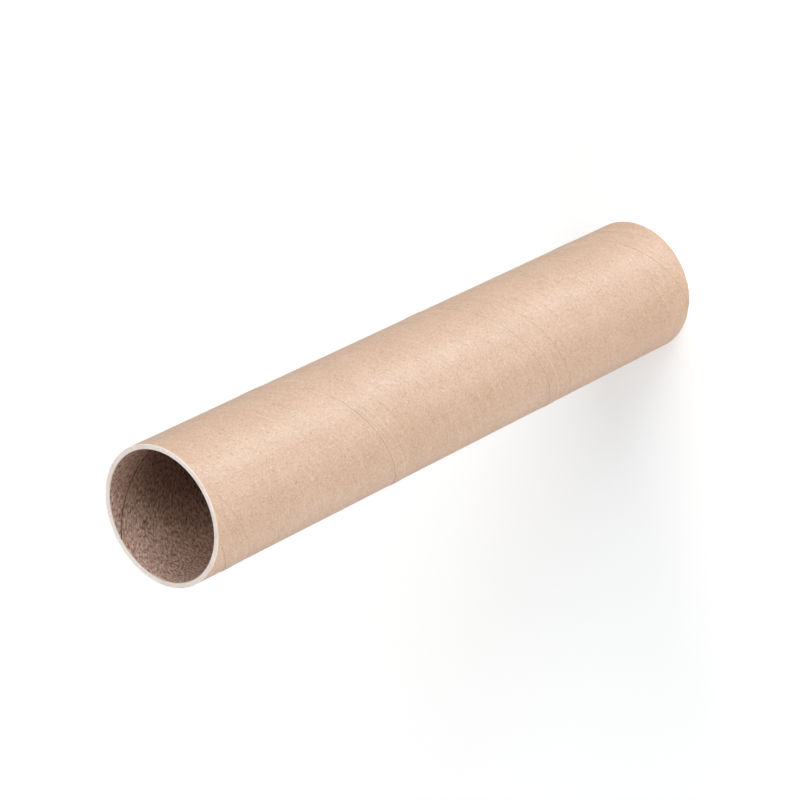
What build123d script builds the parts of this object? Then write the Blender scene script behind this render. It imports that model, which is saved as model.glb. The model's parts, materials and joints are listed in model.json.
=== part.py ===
from build123d import *
import math
import os

# A plain cardboard mailing tube. Strips of paper are wound in a spiral, one on top of the other, and glued
# into a single stiff wall, which is then cut square at both ends and left open. The tube stands on its foot
# ring, with its axis along +Z and its mouth at the top.

# Driving sizes of the whole tube, in millimetres
bore_diameter = 76.0      # the hollow that takes the rolled sheet, and a push-in plug at either end
wall_thickness = 3.0      # all the plies of paper together
tube_length = 430.0       # from the foot to the mouth
strip_width = 125.0       # the width of strip that each turn lays down, which sets the slope of the winding

# The outer wrap is thin smooth kraft paper, and each of its turns lies a little over the turn before.
# Widths along the winding are all measured square to the strip's edge.
wrap_paper = 0.2          # its thickness, and so the height of the step at its free edge
lap_width = 6.5           # how far one turn lies over the other
lap_ramp = 1.4            # how far the top layer takes to come down beyond the edge hidden under it
lap_start_angle = 0.0     # where, round the foot, the free edge starts

# The ply under the wrap has its own open joint, and the wrap sags into it in a shallow furrow
joint_distance = 7.5      # from the end of the lap's ramp to the furrow
joint_width = 2.4         # across the furrow
joint_sag = 0.1           # its depth

# The innermost ply is thicker grey board, and its turns stop just short of each other
inner_ply = 0.45          # its thickness, and so the depth of the seam
seam_gap = 0.7            # the gap between two turns
seam_start_angle = 217.0  # where, round the foot, the seam starts

# The knife that cuts the tube to length leaves its corners slightly bevelled
rim_bevel = 0.4
cut_overrun = 1.0         # how far the bevels' cutter reaches past the wall

# Sizes that follow from those above. The strip goes once round the tube while it climbs by one pitch.
full_turn = 360
inner_radius = bore_diameter / 2
outer_radius = inner_radius + wall_thickness
lap_radius = outer_radius + wrap_paper
way_round = 2 * math.pi * outer_radius
winding_slope = math.asin(strip_width / way_round)
pitch = strip_width / math.cos(winding_slope)


def degrees_round(width):
    """How much of a cross-section, in degrees, a width along the winding takes: a strip's width is a turn."""
    return full_turn * width / strip_width


def on_section(radius, angle):
    """A point of the cross-section, by its distance from the axis and its angle round it in degrees."""
    return (radius * math.cos(math.radians(angle)), radius * math.sin(math.radians(angle)))


def wound(section):
    """A section drawn at the foot and carried up to the mouth, turning to the right as it climbs.

    It turns once for each pitch, so whatever is drawn follows the edges of the strips."""
    with BuildLine() as climb:
        Line((0, 0, 0), (0, 0, tube_length))
    with BuildLine() as winding:
        Helix(pitch=pitch, height=tube_length, radius=outer_radius)
    with BuildPart() as band:
        sweep(sections=section.sketch, path=climb.edges()[0], binormal=winding.edges()[0])
    return band.part


# The lap of the wrap: a step at its free edge, its raised top, and a ramp that comes down past the hidden
# edge. The section goes on into the wall by one paper's thickness, and the ramp goes on at its own slope.
lap_end = lap_start_angle + degrees_round(lap_width)
ramp_end = lap_end + degrees_round(lap_ramp)
buried_end = ramp_end + degrees_round(lap_ramp)
with BuildSketch() as lap_section:
    with BuildLine():
        lap_top = CenterArc((0, 0), lap_radius, lap_start_angle, lap_end - lap_start_angle)
        lap_root = CenterArc(
            (0, 0), outer_radius - wrap_paper, lap_start_angle, buried_end - lap_start_angle
        )
        free_edge = Line(lap_root @ 0, lap_top @ 0)
        ramp = ThreePointArc(lap_top @ 1, on_section(outer_radius, ramp_end), lap_root @ 1)
    make_face()

# The furrow over the hidden joint: a shallow round trough. Its curve runs on above the wrap's surface by as
# much as it dips below, which takes the square root of two times its width.
furrow_half = degrees_round(joint_width) / 2
furrow_middle = ramp_end + degrees_round(joint_distance) + furrow_half
furrow_reach = furrow_half * math.sqrt(2)
with BuildSketch() as furrow_section:
    with BuildLine():
        trough = Spline(
            on_section(outer_radius + joint_sag, furrow_middle - furrow_reach),
            on_section(outer_radius - joint_sag, furrow_middle),
            on_section(outer_radius + joint_sag, furrow_middle + furrow_reach),
        )
        lid = CenterArc((0, 0), lap_radius + joint_sag, furrow_middle - furrow_reach, 2 * furrow_reach)
        lid_start = Line(trough @ 0, lid @ 0)
        lid_end = Line(trough @ 1, lid @ 1)
    make_face()

# The open seam of the innermost ply: one ply deep, with square sides, and as far out into the bore
with BuildSketch() as seam_section:
    with BuildLine():
        seam_floor = CenterArc((0, 0), inner_radius + inner_ply, seam_start_angle, degrees_round(seam_gap))
        seam_mouth = CenterArc((0, 0), inner_radius - inner_ply, seam_start_angle, degrees_round(seam_gap))
        one_side = Line(seam_mouth @ 0, seam_floor @ 0)
        other_side = Line(seam_mouth @ 1, seam_floor @ 1)
    make_face()

lap_band = wound(lap_section)
furrow_cutter = wound(furrow_section)
seam_cutter = wound(seam_section)

# The tube is one piece: the glued wall, with the lap raised on its outside, the furrow pressed in beside it
# and the seam open to the bore
with BuildPart() as tube:
    with BuildSketch():
        Circle(outer_radius)
        Circle(inner_radius, mode=Mode.SUBTRACT)
    extrude(amount=tube_length)
    add(lap_band)
    add(furrow_cutter, mode=Mode.SUBTRACT)
    add(seam_cutter, mode=Mode.SUBTRACT)

    # Both cut ends are bevelled, inside and outside. Each triangle takes one corner off, all the way round.
    with BuildSketch(Plane.XZ):
        for end, outwards in ((0, -1), (tube_length, 1)):
            for radius, away in ((inner_radius, -1), (lap_radius, 1)):
                with BuildLine():
                    Polyline(
                        (radius + away * cut_overrun, end - outwards * (rim_bevel + cut_overrun)),
                        (radius + away * cut_overrun, end + outwards * cut_overrun),
                        (radius - away * (rim_bevel + cut_overrun), end + outwards * cut_overrun),
                        close=True,
                    )
                make_face()
    revolve(axis=Axis.Z, revolution_arc=full_turn, mode=Mode.SUBTRACT)

tube.part.label = "tube"
os.makedirs("parts", exist_ok=True)
export_step(tube.part, "parts/tube.step")

print("pitch of the winding", round(pitch, 2), "mm, slope", round(math.degrees(winding_slope), 2), "degrees")
print("volume", round(tube.part.volume), "cubic mm, solids", len(tube.solids()), "valid", tube.part.is_valid)
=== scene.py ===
# %% [markdown]
# # A plain cardboard mailing tube
#
# The real tube is wound from long strips of paper. A machine lays each strip on a steel bar at a slant, so
# that it climbs as it goes round, glues the next strip on top of it, and cuts the stiff pipe that comes off
# the bar to length with a knife. This lesson builds the tube around its measured model: its spiral wrap,
# its grey lining and its cut ends, and then the paper that each of them shows.

# %% load the measured model
import json
import math

import bmesh
import bpy
from mathutils import Matrix, Vector, noise


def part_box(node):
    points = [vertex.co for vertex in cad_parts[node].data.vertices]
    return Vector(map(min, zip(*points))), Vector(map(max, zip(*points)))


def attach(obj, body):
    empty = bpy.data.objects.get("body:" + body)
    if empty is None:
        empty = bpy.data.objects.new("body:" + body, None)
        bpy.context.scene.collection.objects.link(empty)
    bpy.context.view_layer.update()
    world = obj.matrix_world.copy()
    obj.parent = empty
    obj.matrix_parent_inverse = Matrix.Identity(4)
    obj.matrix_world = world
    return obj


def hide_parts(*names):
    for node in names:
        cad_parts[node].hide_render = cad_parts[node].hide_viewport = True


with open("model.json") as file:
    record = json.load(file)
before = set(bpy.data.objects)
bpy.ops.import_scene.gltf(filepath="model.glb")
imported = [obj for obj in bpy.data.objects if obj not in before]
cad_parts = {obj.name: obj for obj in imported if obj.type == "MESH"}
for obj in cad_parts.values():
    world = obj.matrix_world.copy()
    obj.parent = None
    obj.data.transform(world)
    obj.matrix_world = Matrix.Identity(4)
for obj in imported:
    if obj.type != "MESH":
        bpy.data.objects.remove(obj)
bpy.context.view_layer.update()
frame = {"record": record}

# %% [markdown]
# ## The sizes of the tube
#
# The bore and the length are read from the measured model, so that this file can't drift away from it. The
# other sizes belong to the paper: how thick the wrap is, and how wide a strip is laid down by each turn.
# The slope of the winding isn't a free choice. A strip that is narrower than the way round the tube can
# only cover it without a gap if it climbs at one certain angle, and one turn then climbs by one pitch.

# %% sizes of the wall and of the winding
millimetre = 0.001
full_turn = 360.0

bore_mount = next(mount for mount in frame["record"]["mounts"] if mount["name"] == "bore")
bore_radius = bore_mount["dims"]["r_mm"] * millimetre
tube_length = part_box("tube")[1].z
wall_thickness = 3.0 * millimetre
wrap_paper = 0.2 * millimetre
lining_board = 0.45 * millimetre
strip_width = 125.0 * millimetre

outside_radius = bore_radius + wall_thickness
lap_radius = outside_radius + wrap_paper
winding_slope = math.asin(strip_width / (2 * math.pi * outside_radius))
pitch = strip_width / math.cos(winding_slope)
twist = 2 * math.pi / pitch
print("bore", bore_radius, "outside", outside_radius, "length", tube_length)
print("slope", round(math.degrees(winding_slope), 2), "degrees, one turn climbs", round(pitch, 4))

# %% [markdown]
# ## The camera
#
# The tube is photographed from its mouth, half from the side and half from the end, and it runs away
# from us to the upper right. Ours stands on its foot, because an open tube that lies down would roll.
# So the camera keeps the same place as seen from the tube, and is rolled about its own line of sight
# until the picture matches. It stands over two metres away, with a long lens, which is why the far end
# looks hardly smaller than the mouth.

# %% camera
camera_place = Vector((1.224, 0.950, 1.781))
camera_aim = Vector((0.0, 0.0, 0.228))
camera_roll = -116.0
lens_length = 172.0

camera_data = bpy.data.cameras.new("camera")
camera_data.lens = lens_length
camera = bpy.data.objects.new("camera", camera_data)
bpy.context.scene.collection.objects.link(camera)
upright = (camera_aim - camera_place).to_track_quat("-Z", "Y").to_matrix().to_4x4()
roll = Matrix.Rotation(math.radians(camera_roll), 4, "Z")
camera.matrix_world = Matrix.Translation(camera_place) @ upright @ roll
bpy.context.scene.camera = camera
print("the camera stands", round((camera_place - camera_aim).length, 3), "from the point it looks at")

# %% [markdown]
# ## The winding, drawn unwound
#
# Everything on the wall follows the slant of the strips: the lap, the furrow beside it and the seam
# inside. A mesh whose lines run at a slant is hard to draw, and one whose lines ignore the slant shows a
# jagged step. So the tube is first made unwound, as if the strips ran straight up the wall. Every line of
# the winding is then a straight vertical line, at one angle of the cross-section, and one twist at the
# end winds them all up together.
#
# On the cross-section a whole strip is a whole turn, so a width across a strip turns into an
# angle by one rule.

# %% angles of the seams on the cross-section
lap_width = 6.5 * millimetre
lap_ramp = 1.4 * millimetre
furrow_distance = 7.5 * millimetre
furrow_width = 2.4 * millimetre
furrow_depth = 0.1 * millimetre
seam_gap = 0.7 * millimetre
step_thickness = 0.03 * millimetre


def angle_of(width):
    """The angle of the cross-section, in degrees, that a width across the strip takes."""
    return full_turn * width / strip_width


lap_end = angle_of(lap_width)
ramp_end = lap_end + angle_of(lap_ramp)
furrow_start = ramp_end + angle_of(furrow_distance)
furrow_end = furrow_start + angle_of(furrow_width)
furrow_middle = (furrow_start + furrow_end) / 2
seam_start = 217.0
seam_end = seam_start + angle_of(seam_gap)
step_width = angle_of(step_thickness)
print("the lap ends at", round(lap_end, 2), "and its ramp at", round(ramp_end, 2), "degrees")
print("the furrow lies at", round(furrow_middle, 2), "and the seam at", round(seam_start, 2), "degrees")


# %% [markdown]
# Two rules say how far the outside and the inside stand from the axis at each angle. The wrap is one paper
# thicker on the lap, comes down a short ramp past the edge that is hidden under it, and sags a little into
# the furrow. The lining is even all round but for its open seam, where the ply behind it shows.

# %% radius of the wrap and of the lining
def eased(share):
    """Goes from 0 to 1 with a soft start and end."""
    return (1 - math.cos(math.pi * share)) / 2


def wrap_radius(angle):
    """How far the outside stands from the axis, by the angle past the free edge."""
    if angle <= lap_end:
        return lap_radius
    if angle < ramp_end:
        return lap_radius - wrap_paper * eased((angle - lap_end) / (ramp_end - lap_end))
    if furrow_start < angle < furrow_end:
        across = (angle - furrow_start) / (furrow_end - furrow_start)
        return outside_radius - furrow_depth * math.sin(math.pi * across) ** 2
    return outside_radius


def lining_radius(angle):
    """How far the inside stands from the axis, by the same angle."""
    if seam_start + step_width / 2 < angle < seam_end - step_width / 2:
        return bore_radius + lining_board
    return bore_radius


def angle_at(place):
    """The angle of a point round the unwound tube, in degrees, counted from the free edge."""
    # Rounded first, so that a point on the free edge counts as 0 and not as just under a full turn.
    return round(math.degrees(math.atan2(place.y, place.x)), 4) % full_turn


print("the wrap stands", wrap_radius(0.0), "from the axis on the lap and", wrap_radius(full_turn), "off it")

# %% [markdown]
# ## The cut end
#
# The cut face of the board is a flat ring. A circle is extruded inwards to make it, and planes through the
# axis cut it wherever the wrap or the lining has something to show, so that each of those lines gets its
# own row of points. The board is made of plies, so the ring is cut into narrow rings, two for each ply.

# %% the ring of the cut face
round_steps = 144
ply_count = 7
ring_count = 2 * ply_count
line_angles = (
    -step_width,
    0.0,
    lap_end,
    (lap_end + ramp_end) / 2,
    ramp_end,
    furrow_start,
    (furrow_start + furrow_middle) / 2,
    furrow_middle,
    (furrow_middle + furrow_end) / 2,
    furrow_end,
    seam_start,
    seam_start + step_width,
    seam_end - step_width,
    seam_end,
)

board = bmesh.new()
bmesh.ops.create_circle(board, cap_ends=False, radius=outside_radius, segments=round_steps)
grown = bmesh.ops.extrude_edge_only(board, edges=board.edges[:])
inner_points = [item for item in grown["geom"] if isinstance(item, bmesh.types.BMVert)]
shrink = bore_radius / outside_radius
bmesh.ops.scale(board, verts=inner_points, vec=(shrink, shrink, 1.0))

for angle in line_angles:
    turned = math.radians(angle)
    bmesh.ops.bisect_plane(
        board,
        geom=board.verts[:] + board.edges[:] + board.faces[:],
        dist=1e-7,
        plane_co=(0.0, 0.0, 0.0),
        plane_no=(-math.sin(turned), math.cos(turned), 0.0),
    )

across_wall = [
    edge
    for edge in board.edges
    if abs(edge.verts[0].co.length - edge.verts[1].co.length) > wall_thickness / 2
]
bmesh.ops.subdivide_edges(board, edges=across_wall, cuts=ring_count - 1, use_grid_fill=True)
print("the cut face has", len(board.faces), "faces in", ring_count, "rings")

# %% [markdown]
# The ring's points are now moved out to the wrap and in to the lining, less the width of the soft corner
# that the knife leaves. Between two plies the knife drags the glue line a little deeper than the paper
# beside it, which gives the cut its fine rings. The tube is drawn about its middle, because a mirror will
# make its upper half, so the foot lies half a length below the origin for now.

# %% plies of the cut face
corner_width = 0.4 * millimetre
glue_line_depth = 0.05 * millimetre
foot_level = -tube_length / 2
ply = wall_thickness / ply_count

for point in board.verts:
    angle = angle_at(point.co)
    share = (point.co.length - bore_radius) / wall_thickness
    inner = lining_radius(angle) + corner_width
    outer = wrap_radius(angle) - corner_width
    point.co *= (inner + (outer - inner) * share) / point.co.length
    ring = round(share * ring_count)
    on_glue_line = ring % 2 == 0 and 0 < ring < ring_count
    point.co.z = foot_level + (glue_line_depth if on_glue_line else 0.0)
print("each of the", ply_count, "plies is", round(ply, 5), "thick")

# %% [markdown]
# The corner is made by extruding both open edges of the ring twice, each time further round a
# quarter circle. Each face also has a number, which says which paper shows on it. All the faces so
# far are the cut's, and keep the number 0.

# %% corners of the cut
corner_steps = 2
middle_radius = bore_radius + wall_thickness / 2
cut_slot, wrap_slot, lining_slot = 0, 1, 2


def open_edges(geometry):
    """Of some geometry, the edges that only one face holds."""
    return [item for item in geometry if isinstance(item, bmesh.types.BMEdge) and item.is_boundary]


rim = open_edges(board.edges)
for step in range(1, corner_steps + 1):
    round_the_corner = math.radians(90) * step / corner_steps
    aside = corner_width * (1 - math.sin(round_the_corner))
    grown = bmesh.ops.extrude_edge_only(board, edges=rim)
    for point in grown["geom"]:
        if isinstance(point, bmesh.types.BMVert):
            angle = angle_at(point.co)
            outside = point.co.xy.length > middle_radius
            radius = wrap_radius(angle) - aside if outside else lining_radius(angle) + aside
            point.co.xy *= radius / point.co.xy.length
            point.co.z = foot_level + corner_width * (1 - math.cos(round_the_corner))
    rim = open_edges(grown["geom"])
print("after the corners,", len(rim), "open edges round both walls")

# %% [markdown]
# ## The wall
#
# The open edges are extruded upwards in small steps as far as the tube's middle. A mirror makes the other
# half and welds the two where they meet, so both ends are cut alike, and the whole tube is lifted onto
# its foot. The steps are small because the twist bends each of them round the tube: with too few, the
# wall would have slanting flats.

# %% the wall up to half the length, and its mirror image
half_levels = 100
rise = (tube_length / 2 - corner_width) / half_levels

for level in range(half_levels):
    grown = bmesh.ops.extrude_edge_only(board, edges=rim)
    new_points = [item for item in grown["geom"] if isinstance(item, bmesh.types.BMVert)]
    bmesh.ops.translate(board, verts=new_points, vec=(0.0, 0.0, rise))
    for face in grown["geom"]:
        if isinstance(face, bmesh.types.BMFace):
            outside = face.calc_center_median().xy.length > middle_radius
            face.material_index = wrap_slot if outside else lining_slot
    rim = open_edges(grown["geom"])

bmesh.ops.mirror(
    board,
    geom=board.verts[:] + board.edges[:] + board.faces[:],
    merge_dist=1e-6,
    axis="Z",
)
bmesh.ops.translate(board, verts=board.verts[:], vec=(0.0, 0.0, -foot_level))
bmesh.ops.recalc_face_normals(board, faces=board.faces[:])
still_open = [edge for edge in board.edges if not edge.is_manifold]
print("the wall has", len(board.faces), "faces and", len(still_open), "open edges")

# %% [markdown]
# ## Paper that follows the strips
#
# Paper has a grain: its fibres lie along the strip it was cut from. To carry that grain round the tube,
# every corner of every face is given its place on the flat strip, as a UV map in metres: the first number
# runs along the strip and the second across it. While the tube is unwound both are simple to work out. The
# map jumps only where a strip really ends, at the free edge outside and at the open seam inside.

# %% map of the strips
strip_map = board.loops.layers.uv.new("strip")

for face in board.faces:
    middle = face.calc_center_median()
    lining = face.material_index == lining_slot
    first_edge = seam_end if lining else 0.0
    radius = bore_radius if lining else outside_radius
    face_angle = (angle_at(middle) - first_edge) % full_turn
    for corner in face.loops:
        place = corner.vert.co
        offset = angle_at(place) - first_edge - face_angle
        offset = (offset + full_turn / 2) % full_turn - full_turn / 2
        angle = face_angle + offset
        way_round = radius * (math.radians(angle) + twist * place.z)
        along = way_round * math.cos(winding_slope) + place.z * math.sin(winding_slope)
        across = strip_width * angle / full_turn
        corner[strip_map].uv = (along, across)
print("one strip is", round(strip_width, 3), "wide on the map")

# %% [markdown]
# ## Winding it up
#
# Now the tube is twisted. A point turns about the axis by as much as the strips do on their
# way up to its height.

# %% the twist
for point in board.verts:
    point.co = Matrix.Rotation(twist * point.co.z, 3, "Z") @ point.co
print("the winding goes round", round(tube_length / pitch, 2), "times")

# %% [markdown]
# ## A cut made by a real knife
#
# The knife tears the last fibres instead of slicing them, so the rim of a real tube isn't quite
# flat. Noise draws the points of both cut faces and their corners back into the tube, each by
# less than a tenth of a millimetre.

# %% fine unevenness of the rims
tear_depth = 0.09 * millimetre
tears_per_metre = 500.0

for point in board.verts:
    from_end = min(point.co.z, tube_length - point.co.z)
    if from_end < corner_width:
        tear = tear_depth * (0.5 + 0.5 * noise.noise(point.co * tears_per_metre))
        point.co.z += tear if point.co.z < tube_length / 2 else -tear
print("the rims are uneven by up to", tear_depth)

# %% [markdown]
# ## From the drawing to the object
#
# Faces are shaded smooth, and edges between faces that meet at a clear angle are marked
# sharp. That keeps the free edge of the wrap and the sides of the seam crisp, without
# rounding them into the wall beside them.

# %% the finished tube as an object
sharp_angle = math.radians(35)

for face in board.faces:
    face.smooth = True
for edge in board.edges:
    edge.smooth = edge.calc_face_angle(0.0) < sharp_angle

tube_mesh = bpy.data.meshes.new("mailing_tube")
board.to_mesh(tube_mesh)
board.free()
mailing_tube = bpy.data.objects.new("mailing_tube", tube_mesh)
bpy.context.scene.collection.objects.link(mailing_tube)
print("the tube has", sum(len(face.vertices) - 2 for face in tube_mesh.polygons), "triangles")


# %% [markdown]
# ## How the materials are made
#
# Each finish is a small chain of nodes, and a few short helpers keep the chains readable. One adds a node
# and fills in its inputs, one makes noise at a size given in metres, and one turns a band of values into a
# mask. Short ones do sums, and two lay colours over each other, a single tint or a list of them. Two more
# draw lines: a straight one wherever a value reaches a chosen number, and the thin curly ones of paper
# fibres, which appear wherever a smooth noise passes through its middle value.

# %% colours and nodes
def linear(red, green, blue):
    """A colour picked on a screen, from 0 to 255, as the amounts of light that the screen gives for it."""
    def channel(value):
        share = value / 255
        return share / 12.92 if share <= 0.04045 else ((share + 0.055) / 1.055) ** 2.4

    return (channel(red), channel(green), channel(blue), 1.0)


def add_node(material, kind, inputs=None, **settings):
    """Adds a node to a material or to the world. An input takes a number, a colour or a node's output."""
    node = material.node_tree.nodes.new(kind)
    for name, value in settings.items():
        setattr(node, name, value)
    for name, value in (inputs or {}).items():
        if isinstance(value, bpy.types.NodeSocket):
            material.node_tree.links.new(value, node.inputs[name])
        else:
            node.inputs[name].default_value = value
    return node


# %% noise, masks and sums
def grain(material, place, size, detail=3.0, stretch=(1.0, 1.0, 1.0)):
    """Noise whose spots are about one size across, in metres, and longer along some axes if stretched."""
    scale = tuple(1 / (size * longer) for longer in stretch)
    mapping = add_node(material, "ShaderNodeMapping", {"Vector": place, "Scale": scale})
    return add_node(
        material,
        "ShaderNodeTexNoise",
        {"Vector": mapping.outputs["Vector"], "Scale": 1.0, "Detail": detail},
    ).outputs["Fac"]


def mask(material, value, low, high, to_low=0.0, to_high=1.0):
    """Turns what lies between two values into a share from one number to another."""
    return add_node(
        material,
        "ShaderNodeMapRange",
        {"Value": value, "From Min": low, "From Max": high, "To Min": to_low, "To Max": to_high},
    ).outputs["Result"]


def arithmetic(material, operation, first, second=0.0):
    """One step of arithmetic on one or two values."""
    return add_node(material, "ShaderNodeMath", {0: first, 1: second}, operation=operation).outputs["Value"]


def sum_of(material, first, second):
    """Two values added up."""
    return arithmetic(material, "ADD", first, second)


def product_of(material, first, second):
    """One value made stronger or weaker by another."""
    return arithmetic(material, "MULTIPLY", first, second)


# %% colours laid over each other
# A mix node has one set of sockets for numbers, one for vectors and one for colours, all with the same
# names, so the sockets for colours are called by their place in its lists.
first_colour_input = 6
second_colour_input = 7
mixed_colour_output = 2


def blend_colours(material, share, first, second):
    """Lays a second colour over a first, as strongly as the share says."""
    node = add_node(
        material,
        "ShaderNodeMix",
        {"Factor": share, first_colour_input: first, second_colour_input: second},
        data_type="RGBA",
        blend_type="MIX",
    )
    return node.outputs[mixed_colour_output]


def lay_over(material, colour, layers):
    """Lays one tint after another over a colour, each as strongly as its own share says."""
    for share, tint in layers:
        colour = blend_colours(material, share, colour, tint)
    return colour


# %% lines and fibres
def line_at(material, value, middle, half_width):
    """A soft line, strongest where a value reaches its middle and gone at half the width to either side."""
    off_the_line = arithmetic(material, "ABSOLUTE", arithmetic(material, "SUBTRACT", value, middle))
    return mask(material, off_the_line, half_width, 0.0)


def fibre_lines(material, place, size, stretch, thinness=0.02):
    """Short curly lines like loose fibres, on whatever map they are laid."""
    smooth_noise = grain(material, place, size, detail=1.0, stretch=stretch)
    lines = line_at(material, smooth_noise, 0.5, thinness)
    breaks = grain(material, place, 0.6 * size, detail=0.0, stretch=stretch)
    return product_of(material, lines, mask(material, breaks, 0.46, 0.54))


# %% [markdown]
# Three more helpers start and finish a material. The patterns are drawn on one of two maps. Clouds and
# grains lie in the tube's own place in space, and whatever follows the paper lies on the map of the strips.
# Relief that is finer than the mesh is left to a bump, which only tilts the light on the surface.

# %% a new material, its maps and its relief
def new_material(name):
    """A material with a plain Principled shader, and the place of each point on the tube."""
    material = bpy.data.materials.new(name)
    material.use_nodes = True
    shader = material.node_tree.nodes["Principled BSDF"]
    own_place = add_node(material, "ShaderNodeTexCoord").outputs["Object"]
    return material, shader, own_place


def map_of_strips(material):
    """The place of each point on its flat strip, and how far that is across the strip."""
    strip_place = add_node(material, "ShaderNodeUVMap", uv_map="strip").outputs["UV"]
    across = add_node(material, "ShaderNodeSeparateXYZ", {"Vector": strip_place}).outputs["Y"]
    return strip_place, across


def add_relief(material, shader, height, strength, distance):
    """Makes a surface look raised, by up to a distance in metres, where a value is high."""
    bump = add_node(
        material, "ShaderNodeBump", {"Height": height, "Strength": strength, "Distance": distance}
    ).outputs["Normal"]
    material.node_tree.links.new(bump, shader.inputs["Normal"])


# %% [markdown]
# ## Kraft wrap
#
# The outer paper is smooth unbleached kraft: a warm, pale brown with long fibres. From a step away one sees
# soft clouds where the pulp lay thicker, and close up a fine speckle, short curly fibres, faint streaks
# along the strip and here and there a darker fleck of bark. Each of these is one noise at its own size,
# laid over the colour before it. The streaks and the pale fibres are drawn on the map of the strips, so
# that they wind round the tube with the paper.

# %% colours of the kraft wrap
def kraft_colour(material, own_place, strip_place):
    """The brown of the paper, and those of its patterns that its sheen and its relief need too."""
    clouds = grain(material, own_place, size=28 * millimetre, detail=3.0)
    blotches = grain(material, strip_place, size=6 * millimetre, detail=2.0, stretch=(1.8, 1.0, 1.0))
    streaks = grain(material, strip_place, size=1.1 * millimetre, detail=2.0, stretch=(12.0, 1.0, 1.0))
    speckle = grain(material, own_place, size=1.2 * millimetre, detail=3.0)
    pale_fibres = fibre_lines(material, strip_place, size=2.4 * millimetre, stretch=(2.2, 1.0, 1.0))
    dark_fibres = fibre_lines(material, own_place, size=3.1 * millimetre, stretch=(1.0, 1.0, 1.6))
    flecks = grain(material, strip_place, size=1.2 * millimetre, detail=1.0, stretch=(2.0, 1.0, 1.0))

    cloudy = blend_colours(
        material, mask(material, clouds, 0.3, 0.7), linear(195, 155, 124), linear(205, 168, 139)
    )
    layers = (
        (mask(material, blotches, 0.38, 0.64, 0.0, 0.4), linear(188, 146, 115)),
        (mask(material, streaks, 0.3, 0.7, 0.0, 0.3), linear(186, 144, 112)),
        (mask(material, speckle, 0.35, 0.65, 0.0, 0.5), linear(219, 190, 167)),
        (product_of(material, pale_fibres, 0.5), linear(227, 205, 188)),
        (product_of(material, dark_fibres, 0.45), linear(150, 113, 86)),
        (mask(material, flecks, 0.67, 0.75, 0.0, 0.5), linear(137, 99, 71)),
    )
    return lay_over(material, cloudy, layers), speckle, streaks, blotches


# %% [markdown]
# The winding itself shows as faint lines along the strip. Glue, dust and a painted shadow of the step
# darken the paper just below the free edge, and hands rub the edge itself paler. A painted highlight runs
# as a pale line in the middle of the ramp over the edge that is hidden under the lap, painted shade with
# some dust lies in the furrow, and the belts of the winding machine leave a few long, pale scuffs.

# %% lines of the winding
# Brown of dust and glue, also used for painted shade under the free edge and in the furrow.
dust_and_shade_brown = linear(124, 88, 62)
# Pale tint of rubbed paper, also used for a painted highlight on the ramp.
rubbed_paper_and_highlight = linear(227, 206, 190)

# Where glue, dust and the painted shadow of the step darken the strip below the free edge.
glue_and_shadow_starts_at = strip_width - 0.45 * millimetre
glue_and_shadow_full_at = strip_width - 0.1 * millimetre
half_rubbed_edge = 0.4 * millimetre
# A painted highlight runs along the middle of the ramp.
hidden_edge = lap_width + lap_ramp / 2
half_hidden_edge_highlight = 0.8 * millimetre
furrow_across = furrow_middle / full_turn * strip_width
half_furrow_dust_and_shade = 0.7 * millimetre


def winding_lines(material, colour, strip_place, across):
    """Lays the marks of the strip's edges over a colour."""
    patches = grain(material, strip_place, size=12 * millimetre, detail=2.0, stretch=(3.0, 1.0, 1.0))
    here_and_there = mask(material, patches, 0.35, 0.6, 0.35, 1.0)
    scuffs = grain(material, strip_place, size=0.9 * millimetre, detail=0.0, stretch=(80.0, 1.0, 1.0))

    marks = (
        # Glue and dust, with a painted shadow under the step of the free edge.
        (mask(material, across, glue_and_shadow_starts_at, glue_and_shadow_full_at), 0.3, dust_and_shade_brown),
        (line_at(material, across, half_rubbed_edge, half_rubbed_edge), 0.4, rubbed_paper_and_highlight),
        # A painted highlight on the ramp over the hidden edge.
        (line_at(material, across, hidden_edge, half_hidden_edge_highlight), 0.3, rubbed_paper_and_highlight),
        # Painted shade with some dust along the furrow.
        (line_at(material, across, furrow_across, half_furrow_dust_and_shade), 0.2, dust_and_shade_brown),
        (mask(material, scuffs, 0.68, 0.76), 0.25, rubbed_paper_and_highlight),
    )
    for shape, strength, tint in marks:
        share = product_of(material, product_of(material, shape, strength), here_and_there)
        colour = blend_colours(material, share, colour, tint)
    return colour


# %% [markdown]
# Calendered kraft has a soft sheen. The rollers smooth it along the strip's way, so the sheen is
# drawn out along the tube, and it comes and goes a little where the paper is rougher. Paper bends
# light a little more than the shader does as it comes, and pressed as smooth as this it mirrors more
# of it, so both values are raised.

# %% kraft wrap
def kraft_wrap():
    """The smooth brown paper on the outside."""
    material, shader, own_place = new_material("kraft_wrap")
    strip_place, across = map_of_strips(material)
    colour, speckle, streaks, blotches = kraft_colour(material, own_place, strip_place)
    colour = winding_lines(material, colour, strip_place, across)
    material.node_tree.links.new(colour, shader.inputs["Base Color"])

    roughness = mask(material, blotches, 0.3, 0.7, 0.45, 0.57)
    material.node_tree.links.new(roughness, shader.inputs["Roughness"])
    shader.inputs["IOR"].default_value = 1.55
    shader.inputs["Specular IOR Level"].default_value = 1.0
    shader.inputs["Anisotropic"].default_value = 0.95
    shader.inputs["Anisotropic Rotation"].default_value = 0.25

    height = sum_of(material, speckle, streaks)
    add_relief(material, shader, height, strength=0.6, distance=0.06 * millimetre)
    return material


# %% [markdown]
# ## Grey lining
#
# The inside is thicker recycled board. Its pulp is a mix of old papers that were never quite beaten apart,
# so it is a dull grey brown, mottled everywhere with darker and paler grains about two millimetres across,
# and dotted with darker flecks and a few pale scraps. It is rougher than the wrap and has no shine. At the
# end of the strip's width comes the open seam, whose floor is the ply behind it, painted dark as shade in
# the groove with some dust.

# %% grey lining
half_seam_fade = 0.1 * millimetre


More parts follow.
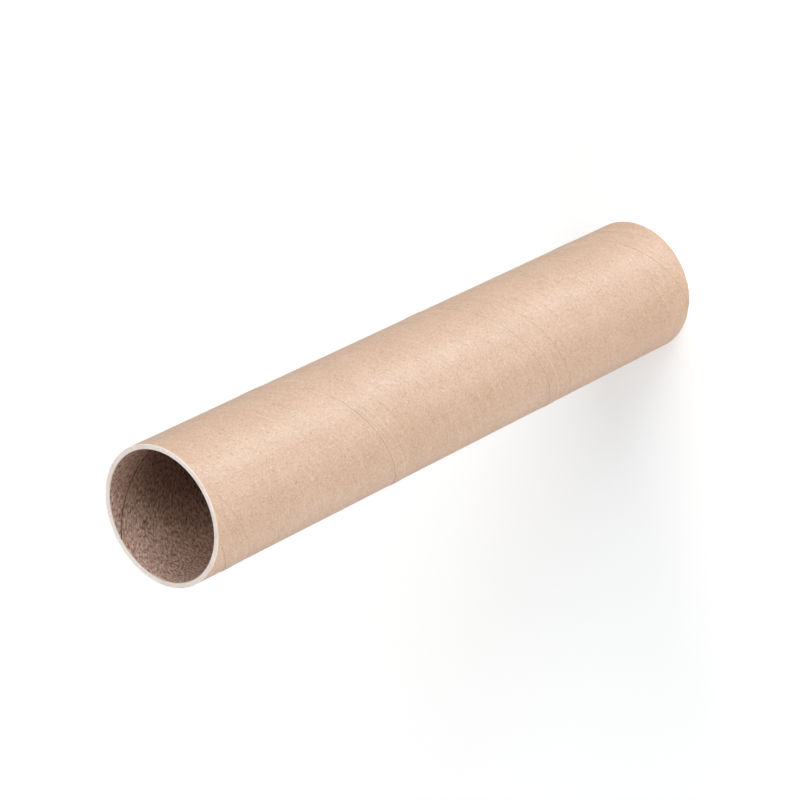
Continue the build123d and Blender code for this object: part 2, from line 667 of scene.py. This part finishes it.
def grey_lining():
    """The mottled recycled board on the inside."""
    material, shader, own_place = new_material("grey_lining")
    strip_place, across = map_of_strips(material)
    clouds = grain(material, own_place, size=14 * millimetre, detail=3.0)
    mottle = grain(material, own_place, size=2.1 * millimetre, detail=3.0)
    fine_mottle = grain(material, strip_place, size=1.2 * millimetre, detail=2.0, stretch=(2.0, 1.0, 1.0))
    pale_fibres = fibre_lines(material, strip_place, size=2.6 * millimetre, stretch=(2.5, 1.0, 1.0))
    dark_flecks = grain(material, own_place, size=2.6 * millimetre, detail=1.0)
    pale_scraps = grain(material, strip_place, size=3 * millimetre, detail=1.0, stretch=(1.5, 1.0, 1.0))
    seam_side = strip_width - seam_gap
    seam = mask(material, across, seam_side - half_seam_fade, seam_side + half_seam_fade)

    cloudy = blend_colours(
        material, mask(material, clouds, 0.3, 0.7), linear(157, 119, 100), linear(174, 137, 118)
    )
    layers = (
        (mask(material, mottle, 0.4, 0.62, 0.0, 0.85), linear(106, 71, 56)),
        (mask(material, fine_mottle, 0.44, 0.68, 0.0, 0.8), linear(202, 174, 156)),
        (product_of(material, pale_fibres, 0.55), linear(214, 192, 176)),
        (mask(material, dark_flecks, 0.66, 0.74, 0.0, 0.55), linear(82, 54, 43)),
        (mask(material, pale_scraps, 0.72, 0.78, 0.0, 0.6), linear(206, 198, 180)),
        # The seam is painted dark: shade in its groove, with some dust.
        (product_of(material, seam, 0.8), linear(66, 42, 33)),
    )
    colour = lay_over(material, cloudy, layers)
    material.node_tree.links.new(colour, shader.inputs["Base Color"])
    shader.inputs["Roughness"].default_value = 0.85

    height = sum_of(material, mottle, fine_mottle)
    add_relief(material, shader, height, strength=0.7, distance=0.15 * millimetre)
    return material


# %% [markdown]
# ## The cut
#
# The knife lays bare fresh fibres, so the cut is the palest part of the tube. The glue lines between the
# plies show as faint darker rings, and the first and last ply show a little of the kraft and of the grey
# board that they belong to. Dust sticks to it in places. All the rings follow one value, the distance from
# the axis, which the fibres make a little uneven.

# %% cut face of the board
wrap_starts_at = outside_radius - 0.75 * wrap_paper
wrap_is_full_at = outside_radius + 0.25 * wrap_paper


def cut_board():
    """The pale, fibrous cut through all the plies."""
    material, shader, own_place = new_material("cut_board")
    flat_place = add_node(
        material, "ShaderNodeVectorMath", {0: own_place, 1: (1.0, 1.0, 0.0)}, operation="MULTIPLY"
    ).outputs["Vector"]
    from_axis = add_node(
        material, "ShaderNodeVectorMath", {0: flat_place}, operation="LENGTH"
    ).outputs["Value"]
    fibres = grain(material, own_place, size=0.8 * millimetre, detail=3.0)
    specks = grain(material, own_place, size=1.6 * millimetre, detail=2.0)
    dust = grain(material, own_place, size=11 * millimetre, detail=2.0)

    uneven = sum_of(material, from_axis, mask(material, fibres, 0.0, 1.0, -0.25 * ply, 0.25 * ply))
    into_wall = arithmetic(material, "SUBTRACT", uneven, bore_radius)
    within_ply = arithmetic(material, "FRACT", arithmetic(material, "DIVIDE", into_wall, ply))
    glue_line = mask(material, within_ply, 0.3, 0.0)
    wrap_edge = mask(material, uneven, wrap_starts_at, wrap_is_full_at)
    lining_edge = mask(material, uneven, bore_radius + lining_board, bore_radius + 0.5 * lining_board)

    fibrous = blend_colours(
        material, mask(material, fibres, 0.3, 0.7), linear(244, 228, 218), linear(253, 245, 239)
    )
    layers = (
        (product_of(material, glue_line, 0.4), linear(196, 170, 155)),
        (product_of(material, wrap_edge, 0.6), linear(222, 178, 142)),
        (product_of(material, lining_edge, 0.5), linear(176, 150, 136)),
        (mask(material, dust, 0.5, 0.75, 0.0, 0.3), linear(202, 180, 166)),
        (mask(material, specks, 0.66, 0.74, 0.0, 0.55), linear(140, 104, 80)),
    )
    colour = lay_over(material, fibrous, layers)
    material.node_tree.links.new(colour, shader.inputs["Base Color"])
    shader.inputs["Roughness"].default_value = 0.9
    add_relief(material, shader, fibres, strength=0.6, distance=0.08 * millimetre)
    return material


# %% the tube gets its papers
papers = {cut_slot: cut_board(), wrap_slot: kraft_wrap(), lining_slot: grey_lining()}

for slot in sorted(papers):
    mailing_tube.data.materials.append(papers[slot])
    print("paper", slot, "is", papers[slot].name, "with", len(papers[slot].node_tree.nodes), "nodes")

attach(mailing_tube, "root")
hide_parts("tube")

# %% [markdown]
# ## Floor and light
#
# The tube stands on a plain white floor in soft studio light: an evenly lit white room and a few broad
# lamps. The camera and reflections see the room as plain white, whatever its strength as a light. The
# floor does the same by adding some white of its own where the camera or a reflection looks at it, and
# it keeps the tube's soft shadow.

# %% floor
plain_white = (1.0, 1.0, 1.0, 1.0)
floor_paper = (0.8, 0.8, 0.8, 1.0)
floor_glow = 0.38
floor_half_width = 4.0


def looked_at(material):
    """1 where the camera or a reflection looks, or somebody looks through glass, and 0 for other light."""
    ray = add_node(material, "ShaderNodeLightPath").outputs
    by_camera_or_mirror = arithmetic(material, "MAXIMUM", ray["Is Camera Ray"], ray["Is Glossy Ray"])
    return arithmetic(material, "MAXIMUM", by_camera_or_mirror, ray["Is Transmission Ray"])


def floor_material():
    """A white floor that looks as bright as the room, and still takes a shadow."""
    material = bpy.data.materials.new("floor")
    material.use_nodes = True
    nodes = material.node_tree.nodes
    nodes.remove(nodes["Principled BSDF"])
    paper = add_node(material, "ShaderNodeBsdfDiffuse", {"Color": floor_paper}).outputs["BSDF"]
    glow_strength = product_of(material, looked_at(material), floor_glow)
    glow = add_node(
        material, "ShaderNodeEmission", {"Color": plain_white, "Strength": glow_strength}
    ).outputs["Emission"]
    both = add_node(material, "ShaderNodeAddShader", {0: paper, 1: glow}).outputs["Shader"]
    material.node_tree.links.new(both, nodes["Material Output"].inputs["Surface"])
    return material


floor_sheet = bmesh.new()
bmesh.ops.create_grid(floor_sheet, x_segments=1, y_segments=1, size=floor_half_width)
floor_mesh = bpy.data.meshes.new("floor")
floor_sheet.to_mesh(floor_mesh)
floor_sheet.free()
floor = bpy.data.objects.new("floor", floor_mesh)
floor.data.materials.append(floor_material())
bpy.context.scene.collection.objects.link(floor)
print("the floor is", 2 * floor_half_width, "metres wide")

# %% room light
room_strength = 0.33

room = bpy.data.worlds.new("room")
bpy.context.scene.world = room
room.use_nodes = True
room_brightness = mask(room, looked_at(room), 0.0, 1.0, room_strength, 1.0)
background = room.node_tree.nodes["Background"]
background.inputs["Color"].default_value = plain_white
room.node_tree.links.new(room_brightness, background.inputs["Strength"])
print("the room looks white, and lights the tube at a strength of", room_strength)

# %% [markdown]
# Each lamp fills a round patch of the sky, so its shadows are soft. The main one stands low and a little
# aside, and the drawn-out sheen of the wrap turns it into the pale band that runs the length of the tube.
# Of the others, the front lamp shines just over the rim onto the inside wall, the low lamp opens up the
# shaded side of the wrap, and the top lamp reaches far down into the bore and lights the cut. Daylight is a
# little bluer than the light that a white room gives back.

# %% broad lamps
def broad_lamp(name, bearing, height, spread, strength, colour):
    """A lamp far away that fills a round patch of the sky. Its bearing is counted from the X axis."""
    lamp_data = bpy.data.lights.new(name, "SUN")
    lamp_data.energy = strength
    lamp_data.color = colour
    lamp_data.angle = math.radians(spread)
    lamp = bpy.data.objects.new(name, lamp_data)
    bpy.context.scene.collection.objects.link(lamp)
    level = math.cos(math.radians(height))
    towards = Vector((
        level * math.cos(math.radians(bearing)),
        level * math.sin(math.radians(bearing)),
        math.sin(math.radians(height)),
    ))
    lamp.rotation_mode = "QUATERNION"
    lamp.rotation_quaternion = (-towards).to_track_quat("-Z", "Y")
    print(name, "shines from", tuple(round(part, 2) for part in towards))


daylight = (0.88, 1.07, 1.25)
room_white = (1.0, 0.98, 0.94)

broad_lamp("main_lamp", bearing=62.0, height=13.0, spread=36.0, strength=1.4, colour=daylight)
broad_lamp("front_lamp", bearing=26.0, height=13.0, spread=32.0, strength=0.78, colour=room_white)
broad_lamp("low_lamp", bearing=-57.0, height=9.0, spread=44.0, strength=1.15, colour=room_white)
broad_lamp("top_lamp", bearing=88.0, height=47.0, spread=36.0, strength=1.2, colour=room_white)

# %% [markdown]
# ## Last look
#
# The picture is shown without any film look, so that a colour appears as it was mixed.

# %% picture settings
bpy.context.scene.view_settings.view_transform = "Standard"
